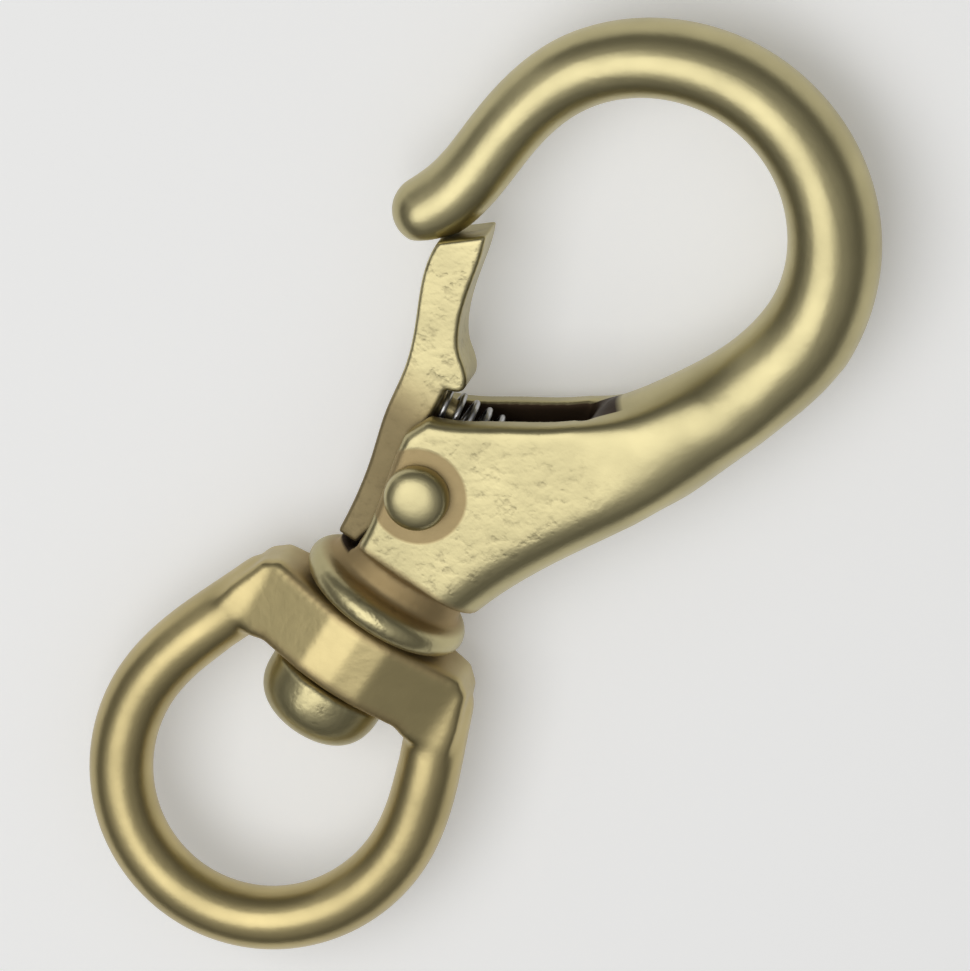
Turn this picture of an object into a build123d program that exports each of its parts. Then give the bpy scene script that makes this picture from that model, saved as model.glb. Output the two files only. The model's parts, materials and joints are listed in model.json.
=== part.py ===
from build123d import *
from math import cos, radians, sin
import os

# Swivel snap hook in cast brass, lying on its side. All sizes are in millimetres.
# +Y runs along the swivel axis to the hook's end, +Z is up, and the gate is on the -X side.
# Outlines are given from the swivel axis (x), the middle of the collar (y) and the middle of
# the thickness (z); the datum below sets that point in the part's own frame.

# Hook bow: a round bar on an arc, thickening from the tip round to the back
bow_radius = 14.25
bow_centre_x = 1.8
bow_centre_y = 37.5
tip_section = 2.82
back_section = 3.9
tip_length = 8.8
tip_lean = 1.7

# Shank: the fork that carries the gate
shank_thickness = 9.6
shank_foot = 3.5
shank_back_round = 3.4
slot_foot = 2.6
slot_reach = 14.0
slot_wall_foot = 3.0
slot_wall_head = 12.0
shank_edge_round = 0.8
shank_corner_round = 0.6
neck_half_width = 5.6
neck_half_thickness = 4.3

# Collar, stem and peened head, all on the swivel axis
collar_radius = 7.04
collar_thickness = 2.4
neck_step = 0.5
stem_radius = 2.85
head_radius = 4.95
head_height = 5.3
head_rim = 1.5
head_edge = 0.4

# Swivel eye
eye_half_width = 12.0
eye_length = 30.3
eye_round_depth = 12.8
eye_wire = 2.55
bar_depth = 6.2
bar_half_width = 9.7
hub_half_width = 2.6
hub_thickness = 10.4
shoulder_thickness = 5.2
bar_edge_round = 0.7

# Gate
gate_thickness = 4.9
gate_edge_round = 0.35
gate_boss = 3.1
lug_below = 1.9
lug_above = 2.1
pivot_x = -2.27
pivot_y = 10.1

# Rivet
rivet_radius = 1.5
rivet_head_radius = 2.6
rivet_head_rim = 0.45
rivet_head_height = 1.9

# Spring, and the peg that holds it on the gate
spring_wire = 0.25
spring_coil = 1.55
spring_turns = 9
spring_slope = 4.0
spring_seat_x = -4.9
spring_seat_y = 15.8
spring_length = 11.0
peg_radius = 1.05
peg_length = 1.6

# Clearances
swivel_clearance = 0.08
collar_gap = 0.42
head_gap = 0.1
pivot_clearance = 0.06
rivet_clearance = 0.02
slot_clearance = 0.15
seat_gap = 0.08
spring_gap = 0.06

# Worked-out sizes
slot_width = gate_thickness + 2 * slot_clearance
collar_face = collar_thickness / 2
bar_top = -(collar_face + collar_gap)
bar_bottom = bar_top - bar_depth
head_top = bar_bottom - head_gap
eye_centre_y = -(eye_length - eye_round_depth)
tip_x = bow_centre_x - bow_radius - tip_lean
tip_y = bow_centre_y - tip_length
bow_top = bow_centre_y + bow_radius + (tip_section + back_section) / 2
part_left = tip_x - tip_section
part_right = bow_centre_x + bow_radius + back_section
part_end = -(eye_length + eye_wire)

# The origin is under the middle of the part, on the surface that it lies on
datum = Plane(
    origin=(
        -(part_left + part_right) / 2,
        -(bow_top + part_end) / 2,
        max(collar_radius, shank_thickness / 2 + rivet_head_height),
    )
)
swivel_axis = Axis(datum.origin, (0, 1, 0))


def place(x, y, z=0):
    return datum.from_local_coords(Vector(x, y, z))


# Centre-line of the bow as (x, y, section radius), from the tip round to the shank
bow_stations = [
    (tip_x, tip_y, tip_section * 0.975),
    (tip_x + 0.72 * tip_lean, tip_y + 0.39 * tip_length, tip_section),
]
for turn in range(0, 181, 30):
    section = tip_section + (back_section - tip_section) * turn / 180
    reach = Vector(-cos(radians(turn)), sin(radians(turn))) * bow_radius
    bow_stations.append((bow_centre_x + reach.X, bow_centre_y + reach.Y, section))
for in_from_back, down, growth in [(1.1, 5.8, 1.08), (3.2, 10.9, 1.17), (6.5, 16.4, 1.2)]:
    bow_x = bow_centre_x + bow_radius - in_from_back
    bow_stations.append((bow_x, bow_centre_y - down, back_section * growth))

with BuildLine() as bow_line:
    bow = Spline([place(x, y) for x, y, section in bow_stations])

# The gate's end meets the tip on this sloping line, from its outer to its inner corner
seat_outer = Vector(tip_x + 2.15, tip_y - 1)
seat_inner = Vector(tip_x + 5.05, tip_y + 1.65)
seat_away = (seat_inner - seat_outer).normalized().rotate(Axis.Z, -90)

# The spring runs from its seat on the gate to the end wall of the slot
spring_run = Vector(cos(radians(spring_slope)), sin(radians(spring_slope)))
wall_run = spring_run.rotate(Axis.Z, 90)
spring_start = Vector(spring_seat_x, spring_seat_y)
spring_stop = spring_start + spring_run * spring_length

with BuildPart() as hook_body:
    # Shank plate, with its back rounded right over
    with BuildSketch(datum):
        with BuildLine():
            inner = Spline(
                (-4.9, 15.7), (-2.8, 16.7), (0, 18.6), (2.8, 20.5), (5.7, 22.9), (8.5, 25.8), (11, 30)
            )
            Line(inner @ 1, (18.6, 29.6))
            back = Spline((18.6, 29.6), (17, 25.5), (14.1, 18.9), (9.45, 10.4), (6.6, shank_foot))
            Line(back @ 1, (-4, shank_foot))
            front = Spline((-4, shank_foot), (-4.35, 6.5), (-5, 9.4), (-5.8, 13.6))
            Line(front @ 1, inner @ 0)
        make_face()
    extrude(amount=shank_thickness / 2, both=True)
    fillet(hook_body.edges().filter_by(Axis.Z).sort_by(Axis.X)[:2], shank_corner_round)
    flat_edges = hook_body.faces().filter_by(Axis.Z).edges()
    behind = place(5, 0).X
    back_edges = flat_edges.filter_by(lambda edge: edge.center().X > behind and edge.length > 20)
    bow_end = place(0, 29).Y
    across_edges = flat_edges.filter_by(lambda edge: edge.center().Y > bow_end)
    across_edges += flat_edges.group_by(Axis.Y)[0]
    fillet(flat_edges - back_edges - across_edges, shank_edge_round)
    back_edges = hook_body.edges().filter_by(lambda edge: edge.center().X > behind and edge.length > 20)
    fillet(back_edges, shank_back_round)

    # Bow, lofted through its round sections, with a round tip
    for x, y, section in bow_stations:
        along = bow.tangent_at(bow.param_at_point(place(x, y)))
        with BuildSketch(Plane(origin=place(x, y), x_dir=(0, 0, 1), z_dir=along)):
            Circle(section)
    loft()
    with Locations(place(tip_x, tip_y)):
        Sphere(bow_stations[0][2])

    # Neck, flattened like the plate, and running out onto the collar
    with BuildSketch(Plane(origin=place(0, shank_foot + 1), x_dir=(1, 0, 0), z_dir=(0, -1, 0))):
        Ellipse(neck_half_width, neck_half_thickness)
    extrude(amount=shank_foot + 1)
    with BuildSketch(Plane(origin=place(0, collar_face - 0.1), x_dir=(1, 0, 0), z_dir=(0, 1, 0))):
        Ellipse(neck_half_width + neck_step, neck_half_thickness + neck_step)
    extrude(amount=neck_step + 0.1, taper=45)

    # Collar, stem and peened head
    rim_centre = collar_radius - collar_face
    with BuildSketch(datum):
        with BuildLine():
            Line((0, collar_face), (rim_centre, collar_face))
            CenterArc((rim_centre, 0), collar_face, 90, -180)
            Polyline(
                (rim_centre, -collar_face),
                (stem_radius, -collar_face),
                (stem_radius, head_top),
                (head_radius - head_edge, head_top),
                (head_radius, head_top - head_edge),
                (head_radius, head_top - head_rim),
            )
            Spline(
                (head_radius, head_top - head_rim),
                (0, head_top - head_height),
                tangents=((0, -1), (-1, 0)),
            )
            Line((0, head_top - head_height), (0, collar_face))
        make_face()
    revolve(axis=swivel_axis)

    # Slot for the gate and its spring, open on the outer side
    wall_foot = spring_stop - wall_run * slot_wall_foot
    wall_head = spring_stop + wall_run * slot_wall_head
    with BuildSketch(datum):
        Polygon(
            (-slot_reach, slot_foot),
            (-1.2, slot_foot),
            (pivot_x + gate_boss + 0.6, 7),
            (wall_foot.X - 2.5, wall_foot.Y - 2.5),
            (wall_foot.X, wall_foot.Y),
            (wall_head.X, wall_head.Y),
            (-slot_reach, 26),
            align=None,
        )
    extrude(amount=slot_width / 2, both=True, mode=Mode.SUBTRACT)

    # Sloping seat for the gate's end, cut from the tip
    cut_outer = seat_outer - seat_away * seat_gap - (seat_inner - seat_outer)
    cut_inner = seat_inner - seat_away * seat_gap + (seat_inner - seat_outer)
    cut_far = cut_inner + seat_away * 4
    cut_near = cut_outer + seat_away * 4
    with BuildSketch(datum):
        Polygon(*[(p.X, p.Y) for p in (cut_outer, cut_inner, cut_far, cut_near)], align=None)
    extrude(amount=tip_section * 1.5, both=True, mode=Mode.SUBTRACT)

    # Rivet hole
    with Locations(place(pivot_x, pivot_y)):
        Cylinder(rivet_radius + rivet_clearance, shank_thickness * 2, mode=Mode.SUBTRACT)

with BuildPart() as gate:
    with BuildSketch(datum):
        with BuildLine():
            outer = Spline(
                (seat_outer.X, seat_outer.Y), (-11.9, 26.2), (-9.9, 20.9), (-8.7, 17.3), (-8.1, 13.6),
                (-7.1, 9.9), (-6.2, 5.2), (-6.0, 3.1)
            )
            Line(outer @ 1, (-4.3, 3.1))
            tail = Spline((-4.3, 3.1), (-3.4, 5.4), (-1.4, 7.1))
            boss = ThreePointArc(
                tail @ 1,
                (pivot_x + gate_boss, pivot_y),
                (pivot_x - 0.2, pivot_y + gate_boss),
            )
            lug = spring_start - wall_run * lug_below
            seat_top = spring_start + wall_run * lug_above
            Polyline(boss @ 1, (lug.X, lug.Y), (seat_top.X, seat_top.Y))
            heel = Spline(
                (seat_top.X, seat_top.Y), (-3.9, 18.9), (-4.5, 20.0), (-5.6, 20.9), (-6.8, 22.6),
                (-8.0, 26.4), (-8.6, 29.0), (seat_inner.X, seat_inner.Y)
            )
            Line(heel @ 1, outer @ 0)
        make_face()
    extrude(amount=gate_thickness / 2, both=True)
    fillet(gate.faces().filter_by(Axis.Z).edges(), gate_edge_round)
    with BuildSketch(Plane(origin=place(spring_start.X, spring_start.Y), z_dir=spring_run)):
        Circle(peg_radius)
    extrude(amount=peg_length)
    with Locations(place(pivot_x, pivot_y)):
        Cylinder(rivet_radius + pivot_clearance, gate_thickness * 2, mode=Mode.SUBTRACT)

with BuildPart() as gate_rivet:
    head_face = shank_thickness / 2
    with BuildSketch(Plane(origin=place(pivot_x, pivot_y), x_dir=(1, 0, 0), z_dir=(0, -1, 0))):
        with BuildLine():
            Polyline(
                (0, 0),
                (rivet_radius, 0),
                (rivet_radius, head_face),
                (rivet_head_radius, head_face),
                (rivet_head_radius, head_face + rivet_head_rim),
            )
            Spline(
                (rivet_head_radius, head_face + rivet_head_rim),
                (0, head_face + rivet_head_height),
                tangents=((0, 1), (-1, 0)),
            )
            Line((0, head_face + rivet_head_height), (0, 0))
        make_face()
    revolve(axis=Axis(place(pivot_x, pivot_y), (0, 0, 1)))
    mirror(about=datum)

with BuildPart() as gate_spring:
    free = spring_length - 2 * (spring_wire + spring_gap)
    first = spring_start + spring_run * (spring_wire + spring_gap)
    with BuildLine():
        coil = Helix(
            pitch=free / spring_turns,
            height=free,
            radius=spring_coil,
            center=place(first.X, first.Y),
            direction=spring_run,
        )
    with BuildSketch(Plane(origin=coil @ 0, z_dir=coil % 0)):
        Circle(spring_wire)
    sweep(is_frenet=True)

with BuildPart() as swivel_eye:
    # Cross bar: its front outline, cut to its plan with the thick hub in the middle
    with BuildSketch(datum):
        with BuildLine():
            Polyline(
                (0, bar_top),
                (bar_half_width - 1.2, bar_top),
                (bar_half_width, bar_top - 1.0),
                (bar_half_width + 1.1, bar_top - 4.0),
                (bar_half_width + 1.6, bar_top - 6.6),
                (bar_half_width - 2.4, bar_bottom - 0.6),
                (bar_half_width - 3.6, bar_bottom),
                (0, bar_bottom),
            )
            mirror(about=Plane(origin=(0, 0, 0), z_dir=(1, 0, 0)))
        make_face()
    extrude(amount=hub_thickness, both=True)
    with BuildSketch(Plane(origin=place(0, bar_top + 1), x_dir=(1, 0, 0), z_dir=(0, -1, 0))):
        with BuildLine():
            Polyline(
                (0, hub_thickness / 2),
                (hub_half_width, hub_thickness / 2 - 0.3),
                (bar_half_width - 0.8, shoulder_thickness / 2),
                (bar_half_width + 3, shoulder_thickness / 2 - 0.2),
                (bar_half_width + 3, 0),
            )
            mirror(about=Plane.XZ)
            mirror(about=Plane.YZ)
        make_face()
    extrude(amount=bar_depth * 2, mode=Mode.INTERSECT)
    fillet(swivel_eye.edges(), bar_edge_round)

    # Bow: a round wire from one shoulder of the bar round to the other
    with BuildLine() as eye_line:
        shoulder_x = bar_half_width - 1.3
        shoulder_y = bar_top - bar_depth / 2 - 0.3
        eye_path = [(-shoulder_x, shoulder_y), (-eye_half_width + 1.5, eye_centre_y + 7)]
        for turn in range(0, 181, 30):
            down = eye_centre_y - eye_round_depth * sin(radians(turn))
            eye_path.append((-eye_half_width * cos(radians(turn)), down))
        eye_path += [(eye_half_width - 1.5, eye_centre_y + 7), (shoulder_x, shoulder_y)]
        eye_bow = Spline([place(x, y) for x, y in eye_path])
    with BuildSketch(Plane(origin=eye_bow @ 0, z_dir=eye_bow % 0)):
        Circle(eye_wire)
    sweep(path=eye_bow)
    with Locations(eye_bow @ 0, eye_bow @ 1):
        Sphere(eye_wire)

    # Bore for the stem
    with BuildSketch(Plane(origin=place(0, bar_top + 1), z_dir=(0, -1, 0))):
        Circle(stem_radius + swivel_clearance)
    extrude(amount=bar_depth + 2, mode=Mode.SUBTRACT)

pieces = {
    "hook_body": hook_body,
    "gate": gate,
    "gate_rivet": gate_rivet,
    "gate_spring": gate_spring,
    "swivel_eye": swivel_eye,
}
os.makedirs("parts", exist_ok=True)
for name, piece in pieces.items():
    piece.part.label = name
    export_step(piece.part, f"parts/{name}.step")
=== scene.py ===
import json
from math import cos, radians, sin, tan

import bpy
from mathutils import Matrix, Vector


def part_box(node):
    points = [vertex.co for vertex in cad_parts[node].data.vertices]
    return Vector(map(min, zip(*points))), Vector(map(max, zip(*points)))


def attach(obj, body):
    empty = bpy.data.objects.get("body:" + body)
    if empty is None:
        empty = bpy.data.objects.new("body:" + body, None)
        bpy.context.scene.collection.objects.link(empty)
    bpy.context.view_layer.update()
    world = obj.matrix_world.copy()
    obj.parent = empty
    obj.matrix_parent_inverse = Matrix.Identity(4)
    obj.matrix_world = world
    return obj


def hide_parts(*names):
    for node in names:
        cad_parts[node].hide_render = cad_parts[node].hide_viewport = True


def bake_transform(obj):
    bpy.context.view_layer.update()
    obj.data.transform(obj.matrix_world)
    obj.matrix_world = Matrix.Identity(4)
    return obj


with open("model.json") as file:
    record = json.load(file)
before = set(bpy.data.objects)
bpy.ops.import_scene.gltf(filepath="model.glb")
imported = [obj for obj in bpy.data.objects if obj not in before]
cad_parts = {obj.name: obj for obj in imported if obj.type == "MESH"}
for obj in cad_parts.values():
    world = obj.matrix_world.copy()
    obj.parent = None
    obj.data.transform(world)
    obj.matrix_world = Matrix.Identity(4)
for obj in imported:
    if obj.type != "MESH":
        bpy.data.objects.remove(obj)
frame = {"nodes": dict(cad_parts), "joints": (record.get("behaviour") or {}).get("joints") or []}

bl_info = {
    "name": "Swivel Snap Hook",
    "version": (1, 0, 0),
    "blender": (4, 5, 0),
    "location": "View3D > Sidebar > Snap Hook",
    "description": "Cast brass swivel snap hook with its finishes, studio floor, lamps and camera",
    "category": "Object",
}

MM = 0.001
JOINTS = {joint["name"]: joint for joint in frame["joints"]}
PIVOT = Vector(JOINTS["gate_pivot"]["pos_m"])
SWIVEL = Vector(JOINTS["eye_swivel"]["pos_m"])
COLLAR = SWIVEL + Vector((0, 5 * MM, 0))
SPRING_LOW, SPRING_HIGH = (Vector(corner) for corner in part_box("gate_spring"))


class CastingSizes(bpy.types.PropertyGroup):
    """How finely the castings are smoothed, and where their rough places are."""

    grain: bpy.props.FloatProperty(
        name="Grain", description="Spacing of the mesh that a casting is rounded on",
        default=0.24 * MM, unit="LENGTH", precision=5)
    rounding: bpy.props.IntProperty(
        name="Rounding", description="Passes that round the edges of a casting", default=5)
    root_rounding: bpy.props.IntProperty(
        name="Root rounding", description="Passes that run the bow into the shank", default=260)
    spot_face: bpy.props.FloatProperty(
        name="Spot face", description="Radius of the unpolished ring round the rivet",
        default=3.9 * MM, unit="LENGTH", precision=5)
    # Also bounds the painted shade inside the slot.
    slot_half: bpy.props.FloatProperty(
        name="Slot half width", description="Half the width of the slot, with its rough cast walls",
        default=2.68 * MM, unit="LENGTH", precision=5)


class BrassColours(bpy.types.PropertyGroup):
    """Colours of the brass and the spring."""

    polished: bpy.props.FloatVectorProperty(
        name="Polished", description="Tumbled brass of the hook and the gate",
        default=(0.56, 0.495, 0.27), size=3, subtype="COLOR")
    eye: bpy.props.FloatVectorProperty(
        name="Eye", description="Warmer brass of the swivel eye",
        default=(0.55, 0.455, 0.225), size=3, subtype="COLOR")
    raw: bpy.props.FloatVectorProperty(
        name="Raw", description="Tan brass where the wheel did not reach",
        default=(0.44, 0.32, 0.16), size=3, subtype="COLOR")
    # Pits are really tarnished; the same dark colour is painted shade inside the slot and on the gate's
    # lower end.
    tarnish_and_shade: bpy.props.FloatVectorProperty(
        name="Tarnish", description="Dark brass in the pits and deep in the slot",
        default=(0.055, 0.036, 0.022), size=3, subtype="COLOR")
    steel: bpy.props.FloatVectorProperty(
        name="Steel", description="Drawn wire of the spring",
        default=(0.60, 0.60, 0.60), size=3, subtype="COLOR")


class StudioSettings(bpy.types.PropertyGroup):
    """Floor, lamps and camera."""

    floor: bpy.props.FloatVectorProperty(
        name="Floor", description="Colour of the pale floor",
        default=(0.96, 0.96, 0.95), size=3, subtype="COLOR")
    width: bpy.props.FloatProperty(
        name="View width", description="Width of the view across the hook", default=76.4 * MM, unit="LENGTH")
    lens: bpy.props.FloatProperty(name="Lens", description="Focal length of the camera in mm", default=600.0)
    tilt: bpy.props.FloatProperty(
        name="Tilt", description="How far the camera leans from straight above towards the hook's end",
        default=radians(20), unit="ROTATION")
    roll: bpy.props.FloatProperty(
        name="Roll", description="How far the swivel axis turns from upright in the view",
        default=radians(33.7), unit="ROTATION")
    glow: bpy.props.FloatProperty(
        name="Glow", description="Lift of the floor as the camera and the metal see it", default=0.20)
    key: bpy.props.FloatProperty(
        name="Key", description="Power of the large soft lamp", default=1.08, unit="POWER")
    fill: bpy.props.FloatProperty(
        name="Fill", description="Power of the side lamp", default=0.06, unit="POWER")
    sky: bpy.props.FloatProperty(
        name="Sky", description="Level of the light from overhead", default=0.38)
    horizon: bpy.props.FloatProperty(
        name="Horizon", description="Level of the light from the sides", default=0.08)


class Signal:
    """A value in a shader, so that shader maths reads as Python."""

    def __init__(self, shader, socket):
        self.shader = shader
        self.socket = socket

    def maths(self, operation, other=None, third=None):
        values = {0: self.socket}
        if other is not None:
            values[1] = getattr(other, "socket", other)
        if third is not None:
            values[2] = getattr(third, "socket", third)
        return self.shader.add("ShaderNodeMath", {"operation": operation}, values)

    def __add__(self, other):
        return self.maths("ADD", other)

    def __radd__(self, other):
        return self.maths("ADD", other)

    def __sub__(self, other):
        return self.maths("SUBTRACT", other)

    def __rsub__(self, other):
        return self.maths("MULTIPLY", -1.0).maths("ADD", other)

    def __mul__(self, other):
        return self.maths("MULTIPLY", other)

    def __rmul__(self, other):
        return self.maths("MULTIPLY", other)

    def __truediv__(self, other):
        return self.maths("DIVIDE", other)

    def magnitude(self):
        return self.maths("ABSOLUTE")

    def clamped(self):
        return self.maths("MAXIMUM", 0.0).maths("MINIMUM", 1.0)

    def above(self, level, blur):
        """0 under level, 1 over it, with an edge blur wide."""
        return ((self - level) / blur + 0.5).clamped()

    def below(self, level, blur):
        return 1 - self.above(level, blur)


class Shader:
    """One material's nodes."""

    def __init__(self, name):
        self.material = bpy.data.materials.new(name)
        self.material.use_nodes = True
        self.tree = self.material.node_tree
        self.tree.nodes.clear()
        self.principled = self.tree.nodes.new("ShaderNodeBsdfPrincipled")
        output = self.tree.nodes.new("ShaderNodeOutputMaterial")
        self.tree.links.new(self.principled.outputs["BSDF"], output.inputs["Surface"])

    def add(self, kind, settings, values, result=0):
        node = self.tree.nodes.new(kind)
        for name, setting in settings.items():
            if name == "stops":
                self.set_stops(node.color_ramp, setting)
            else:
                setattr(node, name, setting)
        for socket, value in values.items():
            value = getattr(value, "socket", value)
            if isinstance(value, bpy.types.NodeSocket):
                self.tree.links.new(value, node.inputs[socket])
            else:
                node.inputs[socket].default_value = value
        return Signal(self, node.outputs[result])

    def set_stops(self, ramp, stops):
        while len(ramp.elements) < len(stops):
            ramp.elements.new(1.0)
        for element, (position, level) in zip(ramp.elements, stops):
            element.position = position
            element.color = (level, level, level, 1)

    def place(self):
        return self.add("ShaderNodeTexCoord", {}, {}, "Object")

    def axes(self, place):
        split = self.tree.nodes.new("ShaderNodeSeparateXYZ")
        self.tree.links.new(place.socket, split.inputs[0])
        return [Signal(self, output) for output in split.outputs]

    def noise(self, place, size, detail=3.0, roughness=0.55):
        """Cloudy noise whose lumps are about size across."""
        return self.add(
            "ShaderNodeTexNoise",
            {},
            {"Vector": place, "Scale": 1 / size, "Detail": detail, "Roughness": roughness},
        )

    def mix(self, amount, first, second):
        node = self.tree.nodes.new("ShaderNodeMix")
        node.data_type = "RGBA"
        self.tree.links.new(amount.socket, node.inputs["Factor"])
        for socket, colour in ((node.inputs[6], first), (node.inputs[7], second)):
            if isinstance(colour, Signal):
                self.tree.links.new(colour.socket, socket)
            else:
                socket.default_value = (*colour, 1)
        return Signal(self, node.outputs[2])

    def bump(self, height, depth, normal=None):
        values = {"Height": height, "Distance": depth, "Strength": 1.0}
        if normal is not None:
            values["Normal"] = normal
        return self.add("ShaderNodeBump", {}, values)

    def glow_when_seen(self, level):
        """Lifts a pale surface for the camera and for reflections, and lights nothing else."""
        rays = [self.add("ShaderNodeLightPath", {}, {}, f"Is {kind} Ray")
                for kind in ("Camera", "Glossy", "Transmission")]
        seen = (rays[0] + rays[1] + rays[2]).clamped() * level
        self.tree.links.new(seen.socket, self.principled.inputs["Emission Strength"])
        self.principled.inputs["Emission Color"].default_value = (1, 1, 1, 1)

    def finish(self, colour, roughness, normal, metallic=1.0):
        sockets = {"Base Color": colour, "Roughness": roughness, "Normal": normal, "Metallic": metallic}
        for name, value in sockets.items():
            if isinstance(value, Signal):
                self.tree.links.new(value.socket, self.principled.inputs[name])
            else:
                self.principled.inputs[name].default_value = value
        return self.material


def brass(name, colour, raw_and_shade_places):
    """Tumbled cast brass. raw_and_shade_places gives a point's unpolished share, its share of painted shade
    in the dark tarnished colour, and its pitted share.
    """
    colours = bpy.context.scene.brass_colours
    shader = Shader(name)
    place = shader.place()
    x, y, z = shader.axes(place)
    raw, shade, rough = raw_and_shade_places(shader, x, y, z)
    clouds = shader.noise(place, 6 * MM, 2.0)
    grain = shader.noise(place, 0.45 * MM, 4.0, 0.65)
    patches = shader.noise(place, 1.7 * MM, 3.0)
    dents = shader.noise(place, 1.0 * MM, 2.5, 0.6)
    pitted = (dents.below(0.40, 0.16) * patches.above(0.48, 0.20) * rough).clamped()
    darker = [channel * 0.86 for channel in colour]
    base = shader.mix(clouds.above(0.5, 0.35), colour, darker)
    base = shader.mix(raw, base, tuple(colours.raw))
    # Painted shade: the shade share turns the brass dark, as real tarnishing does in the pits.
    base = shader.mix((pitted * 0.35 + shade).clamped(), base, tuple(colours.tarnish_and_shade))
    roughness = 0.27 + 0.10 * clouds + 0.06 * grain + 0.28 * raw + 0.2 * shade
    orange_peel = shader.noise(place, 1.1 * MM, 2.0)
    relief = shader.bump(orange_peel, 0.016 * MM)
    relief = shader.bump(grain, 0.008 * MM, relief)
    relief = shader.bump(1 - pitted, 0.022 * MM, relief)
    relief = shader.bump(dents * rough, 0.06 * MM, relief)
    return shader.finish(base, roughness.clamped(), relief)


def ring_about(shader, x, y, centre, radius):
    """Distance from an upright axis, compared with a radius: 1 inside, 0 outside."""
    across = x - centre.x
    along = y - centre.y
    distance = (across * across + along * along).maths("SQRT")
    return distance.below(radius, 0.25 * MM)


def hook_raw_and_shade_places(shader, x, y, z):
    """Neck above the collar and ring round the rivet, left unpolished, and painted shade on the walls of the
    slot.
    """
    sizes = bpy.context.scene.casting_sizes
    level = (z - COLLAR.z).magnitude()
    neck = y.above(COLLAR.y + 1.1 * MM, 0.5 * MM) * y.below(COLLAR.y + 3.9 * MM, 0.7 * MM)
    ring = ring_about(shader, x, y, PIVOT, sizes.spot_face) * level.above(4.2 * MM, 0.3 * MM)
    # Painted shade: the inside of the slot between the plates is darkened.
    slot = level.below(sizes.slot_half, 0.1 * MM) * x.below(SPRING_HIGH.x + 2.2 * MM, 0.2 * MM)
    slot = slot * y.above(COLLAR.y + 2.2 * MM, 0.3 * MM) * y.below(PIVOT.y + 14.5 * MM, 0.5 * MM)
    behind_slot = (x - COLLAR.x) - 0.5 * (y - COLLAR.y)
    slot = slot * behind_slot.below(-0.9 * MM, 0.3 * MM)
    plate = x.below(PIVOT.x + 13 * MM, 6 * MM) * y.below(PIVOT.y + 9 * MM, 5 * MM)
    plate = plate * level.above(4.5 * MM, 0.3 * MM)
    return (neck * 0.85 + ring * 0.75).clamped(), slot, plate * (1 - ring) * 0.6


def eye_raw_places(shader, x, y, z):
    """Top of the cross bar, where the collar shades it from the wheel."""
    across = (x - COLLAR.x).magnitude()
    top = y.above(COLLAR.y - 2.3 * MM, 0.6 * MM) * across.below(7.6 * MM, 1.5 * MM)
    foot = y.below(COLLAR.y - 7.0 * MM, 0.8 * MM) * y.above(COLLAR.y - 10.5 * MM, 1.5 * MM)
    raw = (top * 0.6 + foot * across.below(7.0 * MM, 1.5 * MM) * 0.5).clamped()
    return raw, raw * 0.0, raw * 0.2


def gate_raw_and_shade_places(shader, x, y, z):
    """Nothing of the gate is left quite raw; its lower end has had less wheel and is darkened with painted
    shade.
    """
    raw = y.below(PIVOT.y + 6.5 * MM, 4 * MM) * 0.5
    # The middle share is painted shade on the gate's lower end.
    return raw, y.below(PIVOT.y + 5.0 * MM, 3 * MM) * 0.4, (1 - raw) * 0.65


def no_raw_places(shader, x, y, z):
    """The rivet heads are polished all over."""
    return x * 0.0, x * 0.0, x * 0.0


def pick(piece):
    """Makes a piece the only one that operators act on."""
    bpy.ops.object.select_all(action="DESELECT")
    piece.select_set(True)
    bpy.context.view_layer.objects.active = piece


def merged_copy(name, node):
    """A copy of a CAD node's mesh, with its loose triangles joined."""
    piece = bpy.data.objects.new(name, frame["nodes"][node].data.copy())
    bpy.context.scene.collection.objects.link(piece)
    pick(piece)
    bpy.ops.object.mode_set(mode="EDIT")
    bpy.ops.mesh.select_all(action="SELECT")
    bpy.ops.mesh.remove_doubles(threshold=0.001 * MM)
    bpy.ops.object.mode_set(mode="OBJECT")
    return piece


def apply_modifier(piece, kind, **settings):
    modifier = piece.modifiers.new(kind.title(), kind)
    for name, setting in settings.items():
        setattr(modifier, name, setting)
    pick(piece)
    bpy.ops.object.modifier_apply(modifier=modifier.name)


def cast_piece(name, node, body, material, rounding=None, grain=None):
    """A casting: a CAD node's form with the soft edges of cast and tumbled brass."""
    sizes = bpy.context.scene.casting_sizes
    piece = merged_copy(name, node)
    apply_modifier(piece, "REMESH", mode="VOXEL", voxel_size=grain or sizes.grain)
    apply_modifier(piece, "SMOOTH", factor=0.5, iterations=rounding or sizes.rounding)
    dress(piece, material)
    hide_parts(node)
    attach(piece, body)
    return piece


def dress(piece, material):
    pick(piece)
    bpy.ops.object.shade_smooth()
    piece.data.materials.clear()
    piece.data.materials.append(material)


def even_out(piece, centre, reach, passes):
    """Smooths a casting more around one place, fading out at reach from it."""
    group = piece.vertex_groups.new(name="even_out")
    for vertex in piece.data.vertices:
        share = 1 - (vertex.co - centre).length / reach
        if share > 0:
            group.add([vertex.index], min(1, 2 * share), "REPLACE")
    apply_modifier(piece, "SMOOTH", factor=0.5, iterations=passes, vertex_group="even_out")
    piece.vertex_groups.remove(piece.vertex_groups["even_out"])


class SNAPHOOK_OT_hook_body(bpy.types.Operator):
    """Model the hook body: bow, fork, collar, stem and peened head in one casting"""

    bl_idname = "snaphook.hook_body"
    bl_label = "Hook body"

    def execute(self, context):
        scene = context.scene
        material = brass("hook brass", tuple(scene.brass_colours.polished), hook_raw_and_shade_places)
        piece = cast_piece("hook_body_casting", "hook_body", "hook", material)
        for across, along in ((13.0, 26.5), (16.0, 29.5)):
            for level in (-4, 4):
                root = COLLAR + Vector((across, along, level)) * MM
                even_out(piece, root, 9.5 * MM, scene.casting_sizes.root_rounding)
        return {"FINISHED"}


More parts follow.
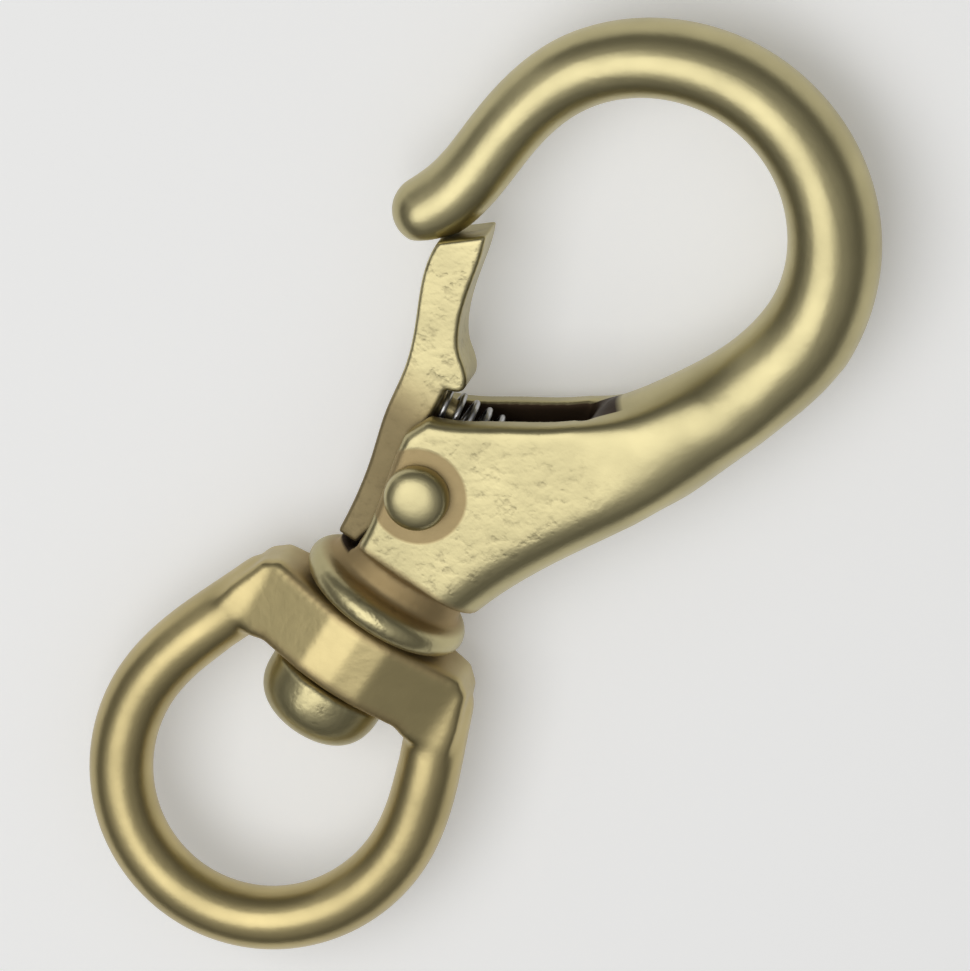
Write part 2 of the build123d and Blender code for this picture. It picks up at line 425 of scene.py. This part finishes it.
class SNAPHOOK_OT_swivel_eye(bpy.types.Operator):
    """Model the swivel eye: cross bar, hub and bow in one casting"""

    bl_idname = "snaphook.swivel_eye"
    bl_label = "Swivel eye"

    def execute(self, context):
        scene = context.scene
        material = brass("eye brass", tuple(scene.brass_colours.eye), eye_raw_places)
        piece = cast_piece("swivel_eye_casting", "swivel_eye", "eye", material)
        for side in (-1, 1):
            even_out(piece, COLLAR + Vector((side * 9.3, -7.5, 0)) * MM, 5.0 * MM, 30)
        return {"FINISHED"}


class SNAPHOOK_OT_gate(bpy.types.Operator):
    """Model the gate, a small rough casting"""

    bl_idname = "snaphook.gate"
    bl_label = "Gate"

    def execute(self, context):
        scene = context.scene
        material = brass("gate brass", tuple(scene.brass_colours.polished), gate_raw_and_shade_places)
        piece = cast_piece("gate_casting", "gate", "gate", material, rounding=3, grain=0.16 * MM)
        return {"FINISHED"}


class SNAPHOOK_OT_rivet(bpy.types.Operator):
    """Finish the rivet with its two domed heads"""

    bl_idname = "snaphook.rivet"
    bl_label = "Rivet"

    def execute(self, context):
        colour = tuple(context.scene.brass_colours.polished)
        material = brass("rivet brass", colour, no_raw_places)
        piece = cast_piece("gate_rivet_headed", "gate_rivet", "hook", material, rounding=2, grain=0.12 * MM)
        return {"FINISHED"}


class SNAPHOOK_OT_spring(bpy.types.Operator):
    """Finish the spring, whose coil stays at its modelled length; on the real hook it shortens as the gate
    opens
    """

    bl_idname = "snaphook.spring"
    bl_label = "Spring"

    def execute(self, context):
        shader = Shader("spring steel")
        place = shader.place()
        drawn = shader.noise(place, 0.25 * MM, 3.0)
        colour = shader.mix(drawn, tuple(context.scene.brass_colours.steel), (0.42, 0.42, 0.43))
        material = shader.finish(colour, 0.24 + 0.1 * drawn, shader.bump(drawn, 0.004 * MM))
        piece = merged_copy("gate_spring_coil", "gate_spring")
        dress(piece, material)
        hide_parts("gate_spring")
        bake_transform(piece)
        return {"FINISHED"}


def view_axes(settings):
    """Right, up and backward directions of the camera."""
    back = Vector((0, sin(settings.tilt), cos(settings.tilt)))
    along = Vector((0, cos(settings.tilt), -sin(settings.tilt)))
    across = Vector((1, 0, 0))
    right = across * cos(settings.roll) + along * sin(settings.roll)
    up = along * cos(settings.roll) - across * sin(settings.roll)
    return right, up, back


def add_lamp(name, target, direction, distance, size, power):
    bpy.ops.object.light_add(type="AREA", location=target + direction.normalized() * distance)
    lamp = bpy.context.object
    lamp.name = name
    lamp.data.shape = "RECTANGLE"
    lamp.data.size, lamp.data.size_y = size
    lamp.data.energy = power
    lamp.rotation_euler = direction.to_track_quat("Z", "Y").to_euler()
    return lamp


def hang_sky(tree, settings):
    """A sky that is darkest at the horizon and lightest overhead, seen from every direction alike."""
    background = tree.nodes["Background"]
    direction = tree.nodes.new("ShaderNodeTexCoord")
    split = tree.nodes.new("ShaderNodeSeparateXYZ")
    fade = tree.nodes.new("ShaderNodeMapRange")
    fade.interpolation_type = "SMOOTHSTEP"
    levels = {"From Min": 0.15, "From Max": 0.95, "To Min": settings.horizon, "To Max": settings.sky}
    for name, level in levels.items():
        fade.inputs[name].default_value = level
    tree.links.new(direction.outputs["Generated"], split.inputs[0])
    tree.links.new(split.outputs["Z"], fade.inputs["Value"])
    tree.links.new(fade.outputs["Result"], background.inputs["Strength"])
    background.inputs["Color"].default_value = (1, 1, 1, 1)


class SNAPHOOK_OT_stage(bpy.types.Operator):
    """Lay the floor and set the lamps, the sky and the camera"""

    bl_idname = "snaphook.stage"
    bl_label = "Stage"

    def execute(self, context):
        settings = context.scene.studio_settings
        bpy.ops.object.select_all(action="DESELECT")
        bpy.ops.mesh.primitive_plane_add(size=4)
        floor = context.object
        floor.name = "floor"
        shader = Shader("floor")
        paper = shader.noise(shader.place(), 40 * MM)
        colour = shader.mix(paper * 0.1, tuple(settings.floor), (0.9, 0.9, 0.9))
        floor.data.materials.append(shader.finish(colour, 0.9, shader.bump(paper, 0.01 * MM), 0.0))
        shader.glow_when_seen(settings.glow)

        right, up, back = view_axes(settings)
        target = COLLAR + Vector((1.65, 12.25, 0)) * MM
        camera_data = bpy.data.cameras.new("camera")
        camera = bpy.data.objects.new("camera", camera_data)
        context.scene.collection.objects.link(camera)
        camera_data.lens = settings.lens
        distance = settings.width * settings.lens / camera_data.sensor_width
        turned = Matrix((right, up, back)).transposed().to_4x4()
        camera.matrix_world = Matrix.Translation(target + back * distance) @ turned
        camera_data.clip_start = 0.01
        context.scene.camera = camera

        foot = Vector((0, -1, 0))
        add_lamp("key lamp", target, back + foot * 0.32 - right * 0.25, 0.5, (0.46, 0.46), settings.key)
        add_lamp("side lamp", target, back * 0.35 - right + up * 0.5, 0.5, (0.10, 0.40), settings.fill)

        world = bpy.data.worlds.new("studio")
        context.scene.world = world
        world.use_nodes = True
        hang_sky(world.node_tree, settings)
        context.scene.view_settings.view_transform = "Standard"
        return {"FINISHED"}


class SNAPHOOK_PT_panel(bpy.types.Panel):
    """Sizes, colours and pieces of the snap hook"""

    bl_label = "Snap Hook"
    bl_idname = "SNAPHOOK_PT_panel"
    bl_space_type = "VIEW_3D"
    bl_region_type = "UI"
    bl_category = "Snap Hook"

    def draw(self, context):
        for group_name in GROUPS:
            group = getattr(context.scene, group_name)
            box = self.layout.box()
            for name in group.__annotations__:
                box.prop(group, name)
        for operator in OPERATORS:
            self.layout.operator(operator.bl_idname)


OPERATORS = (
    SNAPHOOK_OT_hook_body,
    SNAPHOOK_OT_swivel_eye,
    SNAPHOOK_OT_gate,
    SNAPHOOK_OT_rivet,
    SNAPHOOK_OT_spring,
    SNAPHOOK_OT_stage,
)
GROUPS = {"casting_sizes": CastingSizes, "brass_colours": BrassColours, "studio_settings": StudioSettings}


def register():
    for kind in (*GROUPS.values(), *OPERATORS, SNAPHOOK_PT_panel):
        bpy.utils.register_class(kind)
    for name, group in GROUPS.items():
        setattr(bpy.types.Scene, name, bpy.props.PointerProperty(type=group))


def unregister():
    for name in GROUPS:
        delattr(bpy.types.Scene, name)
    for kind in (SNAPHOOK_PT_panel, *reversed(OPERATORS), *GROUPS.values()):
        bpy.utils.unregister_class(kind)


def main():
    register()
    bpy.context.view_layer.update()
    bpy.ops.snaphook.hook_body()
    bpy.ops.snaphook.swivel_eye()
    bpy.ops.snaphook.gate()
    bpy.ops.snaphook.rivet()
    bpy.ops.snaphook.spring()
    bpy.ops.snaphook.stage()


if __name__ == "__main__":
    main()
